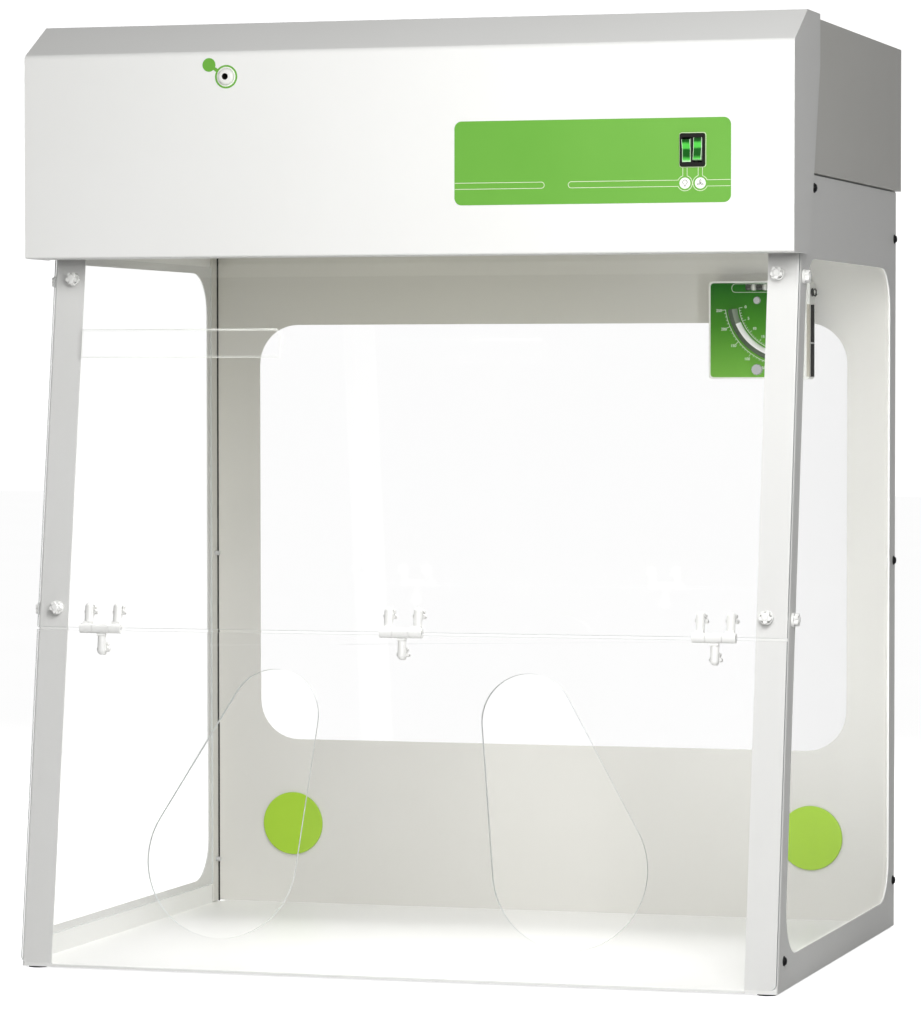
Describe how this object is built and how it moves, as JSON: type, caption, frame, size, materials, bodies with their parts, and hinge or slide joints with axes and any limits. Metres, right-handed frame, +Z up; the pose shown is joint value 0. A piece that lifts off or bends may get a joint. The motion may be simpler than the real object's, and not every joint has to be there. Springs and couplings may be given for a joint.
{
  "type": "ductless fume hood",
  "caption": "Free-standing bench fume hood with a leaning clear front, hinged lower pane with hand holes, glazed sides and back, and a lift-up fascia over filter and blower.",
  "frame": {"origin": "middle of the hood's footprint box on the bench, under the foot pads", "axes": "+X to the user's right, +Y to the back, +Z up"},
  "size_m": [0.8166, 0.6328, 0.9828],
  "materials": {
    "white_paint": "white powder coat, satin",
    "grey_paint": "light grey powder coat, satin",
    "galvanised": "plain zinc-plated sheet",
    "zinc": "bright zinc plating",
    "black_oxide": "black oxide, satin",
    "clear_acrylic": "clear cast acrylic sheet",
    "white_nylon": "moulded white nylon",
    "black_plastic": "moulded black plastic",
    "white_plastic": "moulded white plastic",
    "rubber": "black rubber",
    "green_vinyl": "printed green polyester film",
    "green_cap": "moulded yellow-green plastic",
    "green_lens": "translucent green plastic, lit",
    "gauge_green": "green printed face",
    "tube": "clear tube over a grey channel",
    "carbon": "granular activated carbon",
    "fleece": "white polyester fleece",
    "diffuser": "opal lamp cover",
    "motor": "dark grey cast housing",
    "brass": "plated contacts"
  },
  "bodies": {
    "cabinet": {"floor_tray": "white_paint", "left_side_frame": "white_paint", "right_side_frame": "white_paint", "left_side_window": "clear_acrylic", "right_side_window": "clear_acrylic", "rear_panel": "grey_paint", "rear_window": "clear_acrylic", "foot_pads": "rubber", "left_frame_screws": "black_oxide", "right_frame_screws": "black_oxide", "ceiling": "white_paint", "prefilter": "fleece", "filter_cassette": "galvanised", "carbon_bed": "carbon", "blower_deck": "galvanised", "inlet_ring": "galvanised", "blower_motor": "motor", "motor_bridge": "galvanised", "top_cover": "grey_paint", "power_inlet": "black_plastic", "inlet_blades": "brass", "driver_box": "white_plastic", "inside_leads": "black_plastic", "lamp_housing": "white_plastic", "lamp_diffuser": "diffuser", "upper_pane": "clear_acrylic", "fixed_hinge_leaves": "white_nylon", "hinge_pins": "zinc", "fixed_star_nuts": "white_nylon", "captive_nuts": "zinc", "lift_fixed_leaves": "zinc", "lift_hinge_pins": "zinc", "gauge_body": "white_plastic", "gauge_plate": "gauge_green", "gauge_tube": "tube", "gauge_vial": "tube", "gauge_screw": "zinc"},
    "lower_sash": {"lower_pane": "clear_acrylic", "moving_hinge_leaves": "white_nylon", "moving_star_nuts": "white_nylon"},
    "fascia": {"fascia_panel": "white_paint", "control_label": "green_vinyl", "switch_bezel": "black_plastic", "sampling_port": "white_nylon", "sampling_label": "green_vinyl", "lift_moving_leaves": "zinc"},
    "light_rocker": {"light_rocker": "green_lens"},
    "fan_rocker": {"fan_rocker": "green_lens"},
    "impeller": {"impeller": "galvanised"},
    "gauge_zero_knob": {"gauge_zero_knob": "zinc"},
    "left_port_cap": {"left_port_cap": "green_cap"},
    "right_port_cap": {"right_port_cap": "green_cap"},
    "front_knob_high_left": {"front_knob_high_left": "white_nylon"},
    "side_knob_high_left": {"side_knob_high_left": "white_nylon"},
    "front_knob_high_right": {"front_knob_high_right": "white_nylon"},
    "side_knob_high_right": {"side_knob_high_right": "white_nylon"},
    "front_knob_low_left": {"front_knob_low_left": "white_nylon"},
    "side_knob_low_left": {"side_knob_low_left": "white_nylon"},
    "front_knob_low_right": {"front_knob_low_right": "white_nylon"},
    "side_knob_low_right": {"side_knob_low_right": "white_nylon"}
  },
  "joints": [
    {"name": "lower_sash_swing", "type": "hinge", "parent": "cabinet", "child": "lower_sash", "pos_m": [0, -0.27258, 0.35149], "axis": [-1, 0, 0], "range_deg": [0, 165]},
    {"name": "fascia_lift", "type": "hinge", "parent": "cabinet", "child": "fascia", "pos_m": [0, -0.14987, 0.9798], "axis": [-1, 0, 0], "range_deg": [0, 85]},
    {"name": "light_rocker_tilt", "type": "hinge", "parent": "fascia", "child": "light_rocker", "pos_m": [0.2993, -0.27567, 0.8375], "axis": [-1, 0, 0], "range_deg": [0, 18]},
    {"name": "fan_rocker_tilt", "type": "hinge", "parent": "fascia", "child": "fan_rocker", "pos_m": [0.3107, -0.27567, 0.8375], "axis": [1, 0, 0], "range_deg": [0, 18]},
    {"name": "impeller_spin", "type": "hinge", "parent": "cabinet", "child": "impeller", "pos_m": [0, 0.04839, 0.872], "axis": [0, 0, 1], "continuous": true},
    {"name": "front_knob_high_left_turn", "type": "hinge", "parent": "cabinet", "child": "front_knob_high_left", "pos_m": [-0.378, -0.2155, 0.71559], "axis": [0, -0.99, 0.1409], "continuous": true},
    {"name": "side_knob_high_left_turn", "type": "hinge", "parent": "cabinet", "child": "side_knob_high_left", "pos_m": [-0.4, -0.19729, 0.713], "axis": [-1, 0, 0], "continuous": true},
    {"name": "front_knob_high_right_turn", "type": "hinge", "parent": "cabinet", "child": "front_knob_high_right", "pos_m": [0.378, -0.2155, 0.71559], "axis": [0, -0.99, 0.1409], "continuous": true},
    {"name": "side_knob_high_right_turn", "type": "hinge", "parent": "cabinet", "child": "side_knob_high_right", "pos_m": [0.4, -0.19729, 0.713], "axis": [1, 0, 0], "continuous": true},
    {"name": "front_knob_low_left_turn", "type": "hinge", "parent": "cabinet", "child": "front_knob_low_left", "pos_m": [-0.378, -0.2644, 0.37204], "axis": [0, -0.99, 0.1409], "continuous": true},
    {"name": "side_knob_low_left_turn", "type": "hinge", "parent": "cabinet", "child": "side_knob_low_left", "pos_m": [-0.4, -0.24618, 0.36945], "axis": [-1, 0, 0], "continuous": true},
    {"name": "front_knob_low_right_turn", "type": "hinge", "parent": "cabinet", "child": "front_knob_low_right", "pos_m": [0.378, -0.2644, 0.37204], "axis": [0, -0.99, 0.1409], "continuous": true},
    {"name": "side_knob_low_right_turn", "type": "hinge", "parent": "cabinet", "child": "side_knob_low_right", "pos_m": [0.4, -0.24618, 0.36945], "axis": [1, 0, 0], "continuous": true},
    {"name": "gauge_zero_turn", "type": "hinge", "parent": "cabinet", "child": "gauge_zero_knob", "pos_m": [0.251, 0.26589, 0.621], "axis": [0, -1, 0], "continuous": true},
    {"name": "left_port_cap_pull", "type": "slide", "parent": "cabinet", "child": "left_port_cap", "axis": [0, -1, 0], "range_m": [0, 0.06]},
    {"name": "right_port_cap_pull", "type": "slide", "parent": "cabinet", "child": "right_port_cap", "axis": [0, -1, 0], "range_m": [0, 0.06]}
  ]
}
